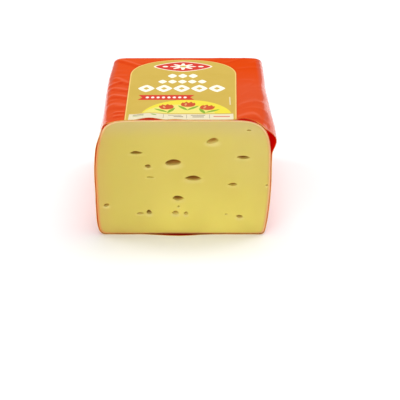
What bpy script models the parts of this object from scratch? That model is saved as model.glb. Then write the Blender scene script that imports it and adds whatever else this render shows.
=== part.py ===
"""A block of yellow cheese cut from a loaf, in its red film with a label on the top.

Metres, +Z up. The origin is the centre of the base. The cut face looks along -Y.
"""

import math

import bmesh
import bpy
from mathutils import Matrix, Vector

# Driving sizes, over the film
LENGTH = 0.175
HALF_WIDTH_CUT = 0.0728
HALF_WIDTH_BODY = 0.0723
HEIGHT = 0.1030
FRONT = -LENGTH / 2
BACK = LENGTH / 2
MIDDLE = HEIGHT / 2
SWELL_LENGTH = 0.130

# Film, label and the gap that loose pieces keep
FILM = 0.0005
LABEL = 0.0004
GAP = 0.0003

# Section: how square the corners are, and how far the sides draw in, at the cut and at the sealed end
TOP_POWER_CUT, TOP_POWER_END = 8.0, 18.0
TOP_DRAW_CUT, TOP_DRAW_END = 0.075, 0.010
BASE_POWER = 36.0
BASE_DRAW = 0.033
BASE_FLAT = 1.004
FOOT_POWER, FOOT_DRAW, FOOT_RETURN = 10, 0.022, 0.0014

# The cut end isn't quite even: its foot leans to the left and its shoulder to the right
CUT_SHIFT, FOOT_LEAN, SHOULDER_LEAN = -0.0011, -0.0021, 0.0009
SHOULDER_LEVEL, SHOULDER_REACH = 0.60, 0.50
LEFT_TUCK, LEFT_LEVEL, LEFT_REACH = 0.0012, 0.82, 0.35
END_RADIUS = 0.0062
END_STEPS = 4

# Points round a section: top, left, base and right side
SIDE_POINTS = (26, 12, 16, 12)
CORNER_CROWD = 0.5

# Distances from the cut: close together where the film is loose, then even steps
LOOSE_STATIONS = (0.0, 0.0025, 0.006, 0.010, 0.015, 0.021, 0.028, 0.036, 0.045)
FOLD_STEP = 0.0055
PLAIN_STATIONS = (0.058, 0.072, 0.088, 0.104, 0.120)
CHEESE_STATIONS = (0.0, 0.010, 0.021, 0.036, 0.045, 0.075, 0.120)

# Where the cut film stands off the cheese: centre and half-width round the section from the top's
# middle, positive to the right, then the height, the peak's distance from the cut and the reach from it
LIFTS = (
    (0.0590, 0.0280, 0.0022, 0.045, 0.066),
    (0.0590, 0.0220, 0.0012, 0.028, 0.028),
    (0.0780, 0.0200, 0.0026, 0.045, 0.060),
    (0.0510, 0.0135, 0.0013, 0.0, 0.030),
    (0.0798, 0.0120, 0.0046, 0.0, 0.060),
    (-0.0265, 0.0150, 0.0018, 0.0, 0.026),
    (-0.0060, 0.0090, 0.0005, 0.0, 0.012),
    (-0.0640, 0.0075, 0.0010, 0.0, 0.012),
)

# The film's lip that shows under the cut face
LIP_CENTRE, LIP_HALF_WIDTH, LIP_DEPTH = -0.0060, 0.0320, 0.0030

# Folds of the film beside the label: start, end, height and half-width. They die out down the sides
FOLD_FOOT, FOLD_HEAD = 0.094, 0.1015
FOLDS = (
    ((-0.0660, 0.0762), (-0.0455, 0.0568), 0.0007, 0.0042),
    ((-0.063, 0.019), (-0.0525, 0.0045), 0.0007, 0.0042),
    ((-0.063, -0.009), (-0.052, -0.0145), 0.0006, 0.0042),
    ((-0.062, -0.027), (-0.051, -0.033), 0.0007, 0.0042),
    ((-0.061, -0.050), (-0.051, -0.056), 0.0006, 0.0045),
    ((0.0435, -0.087), (0.0575, -0.0770), 0.0006, 0.0045),
)

# Label: edges at the cut and where the arch springs, and the arch's rise
LABEL_LEFT_CUT, LABEL_LEFT_ARCH = -0.0480, -0.0512
LABEL_RIGHT_CUT, LABEL_RIGHT_ARCH = 0.0428, 0.0455
LABEL_ARCH_START, LABEL_ARCH_TOP = 0.030, 0.0755
LABEL_ARCH_POWER = 2.2
LABEL_ARCH_POINTS = 18

# Seal across the closed end, folded down flat
SEAL_WIDTH, SEAL_HEIGHT, SEAL_TOP = 0.116, 0.017, 0.064
SEAL_PROUD, SEAL_ROOT, SEAL_TAPER = 0.0012, 0.0002, 0.0030

# Eyes in the cut face: across, height above the base, width, height, depth, turn in degrees
# and how pointed the ends are
EYES = (
    (-0.0090, 0.0656, 0.0130, 0.0054, 0.0060, -4, 0.05),
    (0.0232, 0.0846, 0.0104, 0.0047, 0.0031, -11, 0.20),
    (0.0074, 0.0517, 0.0142, 0.0044, 0.0056, 2, 0.40),
    (-0.0389, 0.0743, 0.0112, 0.0028, 0.0044, -1, 0.50),
    (-0.0297, 0.0624, 0.0056, 0.0032, 0.0036, 10, 0.30),
    (-0.0280, 0.0527, 0.0066, 0.0016, 0.0014, 3, 0.40),
    (0.0526, 0.0938, 0.0040, 0.0014, 0.0018, 0, 0.30),
    (0.0484, 0.0703, 0.0114, 0.0030, 0.0044, 3, 0.50),
    (0.0399, 0.0462, 0.0082, 0.0028, 0.0034, 1, 0.45),
    (0.0680, 0.0454, 0.0020, 0.0019, 0.0018, 0, 0.10),
    (-0.0052, 0.0337, 0.0098, 0.0044, 0.0054, 0, 0.45),
    (-0.0652, 0.0272, 0.0050, 0.0030, 0.0030, -12, 0.20),
    (-0.0371, 0.0197, 0.0064, 0.0022, 0.0020, -3, 0.30),
    (-0.0296, 0.0207, 0.0050, 0.0040, 0.0044, 14, 0.20),
    (-0.0049, 0.0261, 0.0022, 0.0020, 0.0016, 0, 0.10),
    (-0.0077, 0.0202, 0.0062, 0.0036, 0.0026, 4, 0.20),
    (0.0012, 0.0197, 0.0038, 0.0032, 0.0024, 6, 0.15),
    (0.0346, 0.0191, 0.0026, 0.0010, 0.0012, 0, 0.20),
    (0.0459, 0.0167, 0.0060, 0.0032, 0.0032, 12, 0.25),
)
EYE_SEGMENTS, EYE_RINGS = 14, 8
EYE_RAMP = 0.7


def bump(distance, reach):
    """A smooth hump: 1 at no distance, 0 from the reach on."""
    return 0.5 + 0.5 * math.cos(math.pi * distance / reach) if abs(distance) < reach else 0.0


def blend(start, end, share):
    share = min(max(share, 0.0), 1.0)
    return start + (end - start) * share * share * (3 - 2 * share)


def directions():
    """One direction for each point round a section, from the top's left end clockwise seen from the cut."""
    corners = ((-1, 1), (1, 1), (1, -1), (-1, -1))
    found = []
    for side, count in enumerate(SIDE_POINTS[:1] + SIDE_POINTS[:0:-1]):
        (x0, z0), (x1, z1) = corners[side], corners[(side + 1) % 4]
        for step in range(count):
            even = 2 * step / count - 1
            crowded = math.sin(even * math.pi / 2)
            along = (even + (crowded - even) * CORNER_CROWD) / 2 + 0.5
            found.append((x0 + (x1 - x0) * along, z0 + (z1 - z0) * along))
    return found


def section_point(direction, y, inset):
    """A point of the section at y, that far inside the film's outer face."""
    share = (y - FRONT) / SWELL_LENGTH
    power = blend(TOP_POWER_CUT, TOP_POWER_END, share)
    draw = blend(TOP_DRAW_CUT, TOP_DRAW_END, share)
    if direction[1] < 0:
        power, draw = BASE_POWER, BASE_DRAW
    reach = (abs(direction[0]) ** power + abs(direction[1]) ** power) ** (-1 / power)
    across, up = direction[0] * reach, direction[1] * reach
    foot = min(up, 0.0) ** FOOT_POWER
    lean = CUT_SHIFT + FOOT_LEAN * min(up, 0.0) ** 2 + FOOT_RETURN * foot
    lean += SHOULDER_LEAN * bump(up - SHOULDER_LEVEL, SHOULDER_REACH)
    lean += LEFT_TUCK * max(-across, 0.0) * bump(up - LEFT_LEVEL, LEFT_REACH)
    if up < 0:
        up = max(up * BASE_FLAT, -1.0)
    half_width = blend(HALF_WIDTH_CUT, HALF_WIDTH_BODY, share) - inset
    half_height = MIDDLE - inset
    x = half_width * across * (1 - draw * up * up - FOOT_DRAW * foot) + blend(lean, 0.0, share)
    return Vector((x, y, MIDDLE + half_height * up))


def section_normal(direction, y, inset):
    side = Vector((direction[1], 0, -direction[0])) * 0.01
    ahead = (direction[0] + side.x, direction[1] + side.z)
    behind = (direction[0] - side.x, direction[1] - side.z)
    run = section_point(ahead, y, inset) - section_point(behind, y, inset)
    return Vector((-run.z, 0, run.x)).normalized()


def girth(direction, y):
    """Distance round the section from the top's middle, positive to the right."""
    steps = 24
    total, last = 0.0, section_point((0, 1), y, 0)
    turn = math.atan2(direction[0], direction[1])
    for step in range(1, steps + 1):
        angle = turn * step / steps
        point = section_point((math.sin(angle), math.cos(angle)), y, 0)
        total += (point - last).length
        last = point
    return math.copysign(total, direction[0])


def lift(direction, y):
    """How far the loose cut film stands off the cheese."""
    if direction[1] < 0:
        return 0.0
    place, from_cut = girth(direction, y), y - FRONT
    return sum(
        height * bump(place - centre, half) * bump(from_cut - peak, reach)
        for centre, half, height, peak, reach in LIFTS
    )


def fold(x, y, z):
    """Height of the folds beside the label, none under it."""
    if label_edge(y, -1) < x < label_edge(y, 1):
        return 0.0
    total = 0.0
    for (x0, y0), (x1, y1), height, half in FOLDS:
        run = Vector((x1 - x0, y1 - y0))
        spot = Vector((x - x0, y - y0))
        along = min(max(spot.dot(run) / run.length_squared, 0.0), 1.0)
        total += height * bump((spot - run * along).length, 2 * half)
    return total * blend(0.0, 1.0, (z - FOLD_FOOT) / (FOLD_HEAD - FOLD_FOOT))


def label_edge(y, side):
    """The label's straight edge at y, on the left for -1 and on the right for 1."""
    cut, arch = (LABEL_LEFT_CUT, LABEL_LEFT_ARCH) if side < 0 else (LABEL_RIGHT_CUT, LABEL_RIGHT_ARCH)
    return cut + (arch - cut) * (y - FRONT) / (LABEL_ARCH_START - FRONT)


def wrap_point(direction, from_cut, inset, loose=False, folded=False):
    """A point of the wrap: rounded in towards the closed end, lifted at the cut, and folded."""
    end = LENGTH - inset
    round_start = LENGTH - END_RADIUS
    y = FRONT + min(from_cut, end)
    draw_in = 0.0
    if from_cut > round_start:
        radius = END_RADIUS - inset
        draw_in = radius - math.sqrt(max(radius ** 2 - (min(from_cut, end) - round_start) ** 2, 0.0))
    point = section_point(direction, y, inset + draw_in)
    if point.z < inset or (direction[1] < 0 and draw_in == 0.0 and point.z < inset + 1e-6):
        point.z = inset
    rise = lift(direction, y) if loose else 0.0
    if folded and direction[1] > 0:
        rise += fold(point.x, y, point.z)
    if rise:
        point += section_normal(direction, y, inset + draw_in) * rise
    if loose and from_cut == 0 and direction[1] < 0 and point.z < inset + FILM:
        point.y -= LIP_DEPTH * bump(point.x - LIP_CENTRE, LIP_HALF_WIDTH)
    return point


def end_stations(inset):
    """Distances from the cut through the rounded end, the last on the closed end."""
    radius = END_RADIUS - inset
    start = LENGTH - END_RADIUS
    return [start + radius * math.sin(math.pi / 2 * step / END_STEPS) for step in range(END_STEPS + 1)]


def film_stations():
    count = round((LENGTH - END_RADIUS - LOOSE_STATIONS[-1]) / FOLD_STEP)
    step = (LENGTH - END_RADIUS - LOOSE_STATIONS[-1]) / count
    return list(LOOSE_STATIONS) + [LOOSE_STATIONS[-1] + step * i for i in range(1, count)]


def add_rings(mesh, stations, inset, **finish):
    """Adds a ring of vertices for each station."""
    return [
        [mesh.verts.new(wrap_point(way, station, inset, **finish)) for way in directions()]
        for station in stations
    ]


def skin(mesh, rings, closed=True):
    for near, far in zip(rings, rings[1:]):
        count = len(near)
        for i in range(count if closed else count - 1):
            j = (i + 1) % count
            mesh.faces.new((near[i], near[j], far[j], far[i]))


def finish_object(mesh, name, material):
    """Turns the mesh into an object with its normals outward and its own material."""
    bmesh.ops.triangulate(mesh, faces=mesh.faces[:])
    bmesh.ops.recalc_face_normals(mesh, faces=mesh.faces[:])
    data = bpy.data.meshes.new(name)
    mesh.to_mesh(data)
    mesh.free()
    data.shade_smooth()
    data.set_sharp_from_angle(angle=math.radians(40))
    if material:
        data.materials.append(material)
    obj = bpy.data.objects.new(name, data)
    bpy.context.scene.collection.objects.link(obj)
    return obj


def make_cutter(obj):
    obj.hide_render = True
    obj.display_type = "WIRE"


def add_boolean(obj, tool, operation):
    modifier = obj.modifiers.new(tool.name, "BOOLEAN")
    modifier.operation = operation
    modifier.solver = "EXACT"
    modifier.object = tool
    make_cutter(tool)


def make_material(name, colour, roughness, metallic=0.0):
    material = bpy.data.materials.new(name)
    material.use_nodes = True
    shader = material.node_tree.nodes["Principled BSDF"]
    shader.inputs["Base Color"].default_value = (*colour, 1.0)
    shader.inputs["Roughness"].default_value = roughness
    shader.inputs["Metallic"].default_value = metallic
    return material


def make_cheese(material):
    mesh = bmesh.new()
    inset = FILM + GAP
    rings = add_rings(mesh, list(CHEESE_STATIONS) + end_stations(inset), inset)
    skin(mesh, rings)
    mesh.faces.new(rings[0])
    mesh.faces.new(rings[-1])
    cheese = finish_object(mesh, "cheese", material)
    add_boolean(cheese, make_eyes(), "DIFFERENCE")


def make_eyes():
    """Flattened hollows left by gas bubbles, one for each row of EYES: pointed at the ends, overhung at the
    top and with a floor that ramps out."""
    mesh = bmesh.new()
    for x, z, width, height, depth, turn, pinch in EYES:
        place = Matrix.Translation((x, FRONT, z)) @ Matrix.Rotation(math.radians(turn), 4, "Y")
        made = bmesh.ops.create_uvsphere(mesh, u_segments=EYE_SEGMENTS, v_segments=EYE_RINGS, radius=1.0)
        for vertex in made["verts"]:
            across, back, up = vertex.co
            waist = max(1 - across * across, 0.02) ** pinch
            ramp = 1 + EYE_RAMP * min(up, 0.0)
            spot = Vector((across * width / 2, back * waist * ramp * depth, up * waist * height / 2))
            vertex.co = place @ spot
    return finish_object(mesh, "eye_cutters", None)


def make_film(material):
    """A closed shell round the cheese, open at the cut."""
    mesh = bmesh.new()
    outer = add_rings(mesh, film_stations() + end_stations(0.0), 0.0, loose=True, folded=True)
    near = list(LOOSE_STATIONS + PLAIN_STATIONS)
    inner = add_rings(mesh, near + end_stations(FILM), FILM, loose=True)
    skin(mesh, outer)
    skin(mesh, inner)
    skin(mesh, [outer[0], inner[0]])
    mesh.faces.new(outer[-1])
    mesh.faces.new(inner[-1])
    film = finish_object(mesh, "film_wrap", material)
    add_boolean(film, make_seal(), "UNION")


def make_seal():
    """The welded end strip, folded down flat on the closed end, thinner towards its free edge."""
    root, proud = BACK - SEAL_ROOT, BACK + SEAL_PROUD
    low = SEAL_TOP - SEAL_HEIGHT
    profile = (
        (root, SEAL_TOP + SEAL_TAPER),
        (root, low),
        (BACK + SEAL_PROUD / 2, low),
        (proud, low + SEAL_TAPER),
        (proud, SEAL_TOP),
    )
    mesh = bmesh.new()
    ends = [[mesh.verts.new((x, y, z)) for y, z in profile] for x in (-SEAL_WIDTH / 2, SEAL_WIDTH / 2)]
    skin(mesh, ends)
    mesh.faces.new(ends[0])
    mesh.faces.new(ends[1])
    return finish_object(mesh, "seal_strip", None)


def label_outline():
    """The label in plan: straight sides from in front of the cut, and a flat arch at the back."""
    left = label_edge(LABEL_ARCH_START, -1)
    right = label_edge(LABEL_ARCH_START, 1)
    centre, half = (left + right) / 2, (right - left) / 2
    rise = LABEL_ARCH_TOP - LABEL_ARCH_START
    beyond = FRONT - LIP_DEPTH
    points = [(label_edge(beyond, -1), beyond), (label_edge(beyond, 1), beyond)]
    for step in range(LABEL_ARCH_POINTS + 1):
        angle = math.pi * step / LABEL_ARCH_POINTS
        across, up = math.cos(angle), math.sin(angle)
        size = (abs(across) ** LABEL_ARCH_POWER + up ** LABEL_ARCH_POWER) ** (-1 / LABEL_ARCH_POWER)
        points.append((centre + half * across * size, LABEL_ARCH_START + rise * up * size))
    return points


def make_label(material):
    """A strip over the wrap's top, trimmed to the label's outline."""
    mesh = bmesh.new()
    stations = [at for at in film_stations() if FRONT + at < LABEL_ARCH_TOP + 2 * FOLD_STEP]
    ways = [way for way in directions()[: SIDE_POINTS[0] + 1] if abs(way[0]) < 0.85]
    layers = []
    for inset in (-GAP, -GAP - LABEL):
        layers.append(
            [
                [mesh.verts.new(wrap_point(way, at, inset, loose=True, folded=True)) for way in ways]
                for at in stations
            ]
        )
    low, high = layers
    skin(mesh, low, closed=False)
    skin(mesh, high, closed=False)
    skin(mesh, [low[0], high[0]], closed=False)
    skin(mesh, [low[-1], high[-1]], closed=False)
    skin(mesh, [[row[0] for row in low], [row[0] for row in high]], closed=False)
    skin(mesh, [[row[-1] for row in low], [row[-1] for row in high]], closed=False)
    label = finish_object(mesh, "label", material)
    add_boolean(label, make_label_trim(), "INTERSECT")


def make_label_trim():
    mesh = bmesh.new()
    levels = (MIDDLE, HEIGHT * 1.2)
    ends = [[mesh.verts.new((x, y, z)) for x, y in label_outline()] for z in levels]
    skin(mesh, ends)
    mesh.faces.new(ends[0])
    mesh.faces.new(ends[1])
    return finish_object(mesh, "label_trim", None)


def main():
    for obj in list(bpy.data.objects):
        bpy.data.objects.remove(obj)
    make_cheese(make_material("cheese_paste", (0.72, 0.58, 0.16), 0.45))
    make_film(make_material("red_film", (0.80, 0.09, 0.02), 0.25))
    make_label(make_material("gold_label", (0.66, 0.49, 0.12), 0.40))


main()
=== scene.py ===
"""The looks of a cut block of yellow cheese in its red film: paste, film, printed label and end seal.

Metres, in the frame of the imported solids: the cut face looks along -Y, the base lies on z = 0.
"""

import math
import random

import bmesh
import bpy
import numpy as np
from mathutils import Matrix, Vector, noise


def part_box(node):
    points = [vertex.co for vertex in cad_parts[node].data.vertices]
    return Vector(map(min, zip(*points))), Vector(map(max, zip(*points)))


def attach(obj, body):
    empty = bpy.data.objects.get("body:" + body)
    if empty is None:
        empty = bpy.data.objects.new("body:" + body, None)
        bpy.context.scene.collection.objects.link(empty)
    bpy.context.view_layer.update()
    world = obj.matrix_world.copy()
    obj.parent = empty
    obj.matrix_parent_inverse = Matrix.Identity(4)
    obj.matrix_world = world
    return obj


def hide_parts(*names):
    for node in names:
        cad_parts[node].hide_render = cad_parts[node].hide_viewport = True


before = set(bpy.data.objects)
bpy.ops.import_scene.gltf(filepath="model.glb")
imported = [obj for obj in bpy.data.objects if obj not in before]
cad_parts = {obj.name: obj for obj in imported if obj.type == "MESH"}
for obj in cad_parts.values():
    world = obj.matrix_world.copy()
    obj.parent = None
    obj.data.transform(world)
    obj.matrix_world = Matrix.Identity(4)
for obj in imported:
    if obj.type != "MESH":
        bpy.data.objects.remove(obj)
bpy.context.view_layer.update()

# Camera: place, turn to the right, pitch down and roll in degrees, and the lens on a 36 mm sensor
CAMERA_PLACE = (0.0196, -0.8464, 0.3835)
CAMERA_YAW, CAMERA_PITCH, CAMERA_ROLL = -0.506, 24.847, -0.21
CAMERA_LENS, CAMERA_SENSOR = 90.5, 36.0

# Sizes that the solids give
PASTE_LOW, PASTE_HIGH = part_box("cheese")
SOLID_INSET = PASTE_LOW.z
FRONT = PASTE_LOW.y
LENGTH = PASTE_HIGH.y - PASTE_LOW.y + SOLID_INSET
BACK = FRONT + LENGTH
HEIGHT = PASTE_HIGH.z + SOLID_INSET
MIDDLE = HEIGHT / 2

# Section of the block over the film, at the cut and further back
HALF_WIDTH_CUT, HALF_WIDTH_BODY = 0.0728, 0.0723
SWELL_LENGTH = 0.130
TOP_POWER_CUT, TOP_POWER_END = 8.0, 18.0
TOP_DRAW_CUT, TOP_DRAW_END = 0.075, 0.010
BASE_POWER, BASE_DRAW, BASE_FLAT = 36.0, 0.033, 1.004
FOOT_POWER, FOOT_DRAW, FOOT_RETURN = 10, 0.022, 0.0014
CUT_SHIFT, FOOT_LEAN, SHOULDER_LEAN = -0.0011, -0.0021, 0.0009
SHOULDER_LEVEL, SHOULDER_REACH = 0.60, 0.50
LEFT_TUCK, LEFT_LEVEL, LEFT_REACH = 0.0012, 0.82, 0.35
END_RADIUS = 0.0062

# Thickness of the film and the label, how close the label lies, and the paste's inset under the film
FILM, LABEL, LABEL_GAP = 0.00042, 0.00016, 0.00010
PASTE_INSET, PASTE_RIM = 0.00052, 0.0009

# Where the cut film stands off the cheese: centre and half-width round the section, height,
# distance of the peak from the cut, reach along the block
LIFTS = (
    (0.0590, 0.0280, 0.0022, 0.045, 0.066),
    (0.0590, 0.0220, 0.0012, 0.028, 0.028),
    (0.0780, 0.0200, 0.0026, 0.045, 0.060),
    (0.0510, 0.0135, 0.0013, 0.0, 0.030),
    (0.0798, 0.0120, 0.0046, 0.0, 0.060),
    (-0.0265, 0.0150, 0.0018, 0.0, 0.026),
    (-0.0060, 0.0090, 0.0005, 0.0, 0.012),
    (-0.0640, 0.0075, 0.0010, 0.0, 0.012),
)
LIP_CENTRE, LIP_HALF_WIDTH, LIP_DEPTH = -0.0060, 0.0320, 0.0030

# Folds of the film beside the label: start, end, height and half-width
FOLD_FOOT, FOLD_HEAD = 0.094, 0.1015
FOLDS = (
    ((-0.0660, 0.0762), (-0.0455, 0.0568), 0.0007, 0.0028),
    ((-0.063, 0.019), (-0.0525, 0.0045), 0.0007, 0.0028),
    ((-0.066, 0.003), (-0.059, 0.007), 0.0006, 0.0026),
    ((-0.063, -0.009), (-0.052, -0.0145), 0.0006, 0.0028),
    ((-0.062, -0.027), (-0.051, -0.033), 0.0007, 0.0030),
    ((-0.061, -0.050), (-0.051, -0.056), 0.0006, 0.0040),
    ((-0.056, -0.068), (-0.051, -0.069), 0.0005, 0.0016),
    ((-0.056, -0.077), (-0.051, -0.077), 0.0005, 0.0016),
    ((0.0435, -0.087), (0.0575, -0.0770), 0.0006, 0.0034),
    ((0.046, -0.060), (0.060, -0.046), 0.0002, 0.0034),
)

# Label in plan
LABEL_LEFT_CUT, LABEL_LEFT_ARCH = -0.0480, -0.0512
LABEL_RIGHT_CUT, LABEL_RIGHT_ARCH = 0.0428, 0.0455
LABEL_ARCH_START, LABEL_ARCH_TOP, LABEL_ARCH_POWER = 0.030, 0.0755, 2.2

# End seal
SEAL_WIDTH, SEAL_HEIGHT, SEAL_TOP = 0.116, 0.017, 0.064
SEAL_THICK, SEAL_LIFT = 0.0008, 0.0005
SEAL_RIB_PITCH, SEAL_RIB_WIDTH, SEAL_RIB_PROUD = 0.0019, 0.0010, 0.0004
SEAL_RIBBED_WIDTH, SEAL_RIBBED_HEIGHT = 0.97, 0.86

# Eyes in the cut face: across, height above the base, width, height, depth, turn in degrees
# and how pointed the ends are
EYES = (
    (-0.0090, 0.0656, 0.0130, 0.0054, 0.0060, -4, 0.05),
    (0.0232, 0.0846, 0.0104, 0.0047, 0.0031, -11, 0.20),
    (0.0074, 0.0517, 0.0142, 0.0044, 0.0056, 2, 0.40),
    (-0.0389, 0.0743, 0.0112, 0.0028, 0.0044, -1, 0.50),
    (-0.0297, 0.0624, 0.0056, 0.0032, 0.0036, 10, 0.30),
    (-0.0280, 0.0527, 0.0066, 0.0016, 0.0014, 3, 0.40),
    (0.0526, 0.0938, 0.0040, 0.0014, 0.0018, 0, 0.30),
    (0.0484, 0.0703, 0.0114, 0.0030, 0.0044, 3, 0.50),
    (0.0399, 0.0462, 0.0082, 0.0028, 0.0034, 1, 0.45),
    (0.0680, 0.0454, 0.0020, 0.0019, 0.0018, 0, 0.10),
    (-0.0052, 0.0337, 0.0098, 0.0044, 0.0054, 0, 0.45),
    (-0.0652, 0.0272, 0.0050, 0.0030, 0.0030, -12, 0.20),
    (-0.0371, 0.0197, 0.0064, 0.0022, 0.0020, -3, 0.30),
    (-0.0296, 0.0207, 0.0050, 0.0040, 0.0044, 14, 0.20),
    (-0.0049, 0.0261, 0.0022, 0.0020, 0.0016, 0, 0.10),
    (-0.0077, 0.0202, 0.0062, 0.0036, 0.0026, 4, 0.20),
    (0.0012, 0.0197, 0.0038, 0.0032, 0.0024, 6, 0.15),
    (0.0346, 0.0191, 0.0026, 0.0010, 0.0012, 0, 0.20),
    (0.0459, 0.0167, 0.0060, 0.0032, 0.0032, 12, 0.25),
)
EYE_SEGMENTS, EYE_RINGS = 28, 14

# Fineness of the meshes: points on the top, right side, base and left side, steps along the block,
# and rings on the cut face and the closed ends
SHEET_POINTS = (110, 44, 40, 44)
PASTE_POINTS = (84, 56, 80, 56)
SHEET_STEP, PASTE_STEP = 0.00145, 0.012
EDGE_STEPS = (0.0, 0.0004, 0.001, 0.0018)
FACE_RINGS, PASTE_END_RINGS, SHEET_END_RINGS = 32, 6, 46
LABEL_COLUMNS, LABEL_ROWS, ARCH_ROWS = 121, 84, 40
SEAL_COLUMNS, SEAL_ROWS = 90, 15

# Heights of the fine wrinkles: on the top's left, its right and behind the label, on the sides, and
# small ones there. They start a little way off the label
WRINKLE_LEFT, WRINKLE_RIGHT, WRINKLE_BEHIND = 0.00018, 0.00016, 0.00018
WRINKLE_SIDE, WRINKLE_SMALL = 0.00085, 0.00022
CLEAR_OF_LABEL, CLEAR_CLIMB = 0.001, 0.004

# Most relief of the closed end, how far the cut edge wanders, and the reach of that along the block
END_RELIEF = 0.0018
EDGE_WANDER, EDGE_REACH = 0.00035, 0.003

# Slope of a fold at which its painted highlight and painted shade are full
STEEP_FALL = 0.22

SEED = 11


def hump(distance, reach):
    """A smooth hump: 1 at no distance, 0 from the reach on."""
    near = np.abs(distance) < reach
    return np.where(near, 0.5 + 0.5 * np.cos(np.pi * distance / reach), 0.0)


def blend(start, end, share):
    """From start to end with a smooth climb, as share goes from 0 to 1."""
    share = np.clip(share, 0.0, 1.0)
    return start + (end - start) * share * share * (3 - 2 * share)


def section_ways(counts):
    """Directions round a section from the top's left end, clockwise seen from the cut: two arrays."""
    corners = np.array(((-1, 1), (1, 1), (1, -1), (-1, -1)), float)
    ways = []
    for side, count in enumerate(counts):
        even = np.linspace(-1, 1, count, endpoint=False)
        along = ((even + np.sin(even * np.pi / 2)) / 4 + 0.5)[:, None]
        ways.append(corners[side] * (1 - along) + corners[(side + 1) % 4] * along)
    ways = np.concatenate(ways)
    return ways[:, 0], ways[:, 1]


def section(ways, y, inset):
    """X and z round the section at y, that far inside the film's outer face."""
    across, up = ways
    share = (y - FRONT) / SWELL_LENGTH
    power = np.where(up < 0, BASE_POWER, blend(TOP_POWER_CUT, TOP_POWER_END, share))
    draw = np.where(up < 0, BASE_DRAW, blend(TOP_DRAW_CUT, TOP_DRAW_END, share))
    reach = (np.abs(across) ** power + np.abs(up) ** power) ** (-1 / power)
    across, up = across * reach, up * reach
    foot = np.minimum(up, 0) ** FOOT_POWER
    lean = CUT_SHIFT + FOOT_LEAN * np.minimum(up, 0) ** 2 + FOOT_RETURN * foot
    lean += SHOULDER_LEAN * hump(up - SHOULDER_LEVEL, SHOULDER_REACH)
    lean += LEFT_TUCK * np.maximum(-across, 0) * hump(up - LEFT_LEVEL, LEFT_REACH)
    up = np.where(up < 0, np.maximum(up * BASE_FLAT, -1.0), up)
    half_width = blend(HALF_WIDTH_CUT, HALF_WIDTH_BODY, share) - inset
    x = half_width * across * (1 - draw * up * up - FOOT_DRAW * foot) + lean * (1 - blend(0.0, 1.0, share))
    return x, MIDDLE + (MIDDLE - inset) * up


def outward(x, z):
    """Unit normals of a closed outline that runs clockwise."""
    run = np.stack((np.roll(x, -1) - np.roll(x, 1), np.roll(z, -1) - np.roll(z, 1)))
    run /= np.linalg.norm(run, axis=0)
    return -run[1], run[0]


def girth(x, z, ways):
    """Distance round the section from the top's middle, positive to the right."""
    steps = np.hypot(np.diff(x, append=x[0]), np.diff(z, append=z[0]))
    along = np.concatenate(([0.0], np.cumsum(steps)))[:-1]
    start = along[np.argmin(np.abs(ways[0]) + 9 * (ways[1] < 0))]
    total = steps.sum()
    return (along - start + total / 2) % total - total / 2


def lift(place, from_cut):
    """How far the loose cut film stands off the cheese."""
    return sum(
        height * hump(place - centre, half) * hump(from_cut - peak, reach)
        for centre, half, height, peak, reach in LIFTS
    )


def label_edge(y, side):
    """The label's straight edge at y, on the left for -1 and on the right for 1."""
    cut, arch = (LABEL_LEFT_CUT, LABEL_LEFT_ARCH) if side < 0 else (LABEL_RIGHT_CUT, LABEL_RIGHT_ARCH)
    return cut + (arch - cut) * (y - FRONT) / (LABEL_ARCH_START - FRONT)


def ridge(u, v, start, end, height, half):
    """Height of a fold along a straight line in the plane of u and v."""
    run = np.subtract(end, start)
    along = np.clip(((u - start[0]) * run[0] + (v - start[1]) * run[1]) / (run @ run), 0, 1)
    return height * hump(np.hypot(u - start[0] - run[0] * along, v - start[1] - run[1] * along), 2 * half)


def beyond_label(x, y):
    """Distance outside the label's outline, less than 0 on the label."""
    straight = np.minimum(y, LABEL_ARCH_START)
    left, right = label_edge(straight, -1), label_edge(straight, 1)
    half = (right - left) / 2
    across = np.abs(x - (left + right) / 2) / half
    rise = np.maximum(y - LABEL_ARCH_START, 0.0) / (LABEL_ARCH_TOP - LABEL_ARCH_START)
    power = LABEL_ARCH_POWER
    return ((across ** power + rise ** power) ** (1 / power) - 1) * half


def fold(x, y, z):
    """Height of the folds beside the label, none under it."""
    total = sum(ridge(x, y, *row) for row in FOLDS)
    total = np.where(beyond_label(x, y) > 0, total, 0.0)
    return total * blend(0.0, 1.0, (z - FOLD_FOOT) / (FOLD_HEAD - FOLD_FOOT))


def field(points, scale, offset):
    """Smooth noise from -1 to 1 at each point, stretched by scale."""
    return np.array([noise.noise(Vector(p) + Vector(offset)) for p in points * np.array(scale)])


def creases(points, scale, offset, sharpness):
    """Noise with crisp crests, as film has where it is pulled: 0 to 1."""
    return (1 - np.abs(field(points, scale, offset))) ** sharpness


def away_from_label(x, y):
    """0 on the label and up to 1 mm off it, 1 from 5 mm on."""
    return blend(0.0, 1.0, (beyond_label(x, y) - CLEAR_OF_LABEL) / CLEAR_CLIMB)


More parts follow.
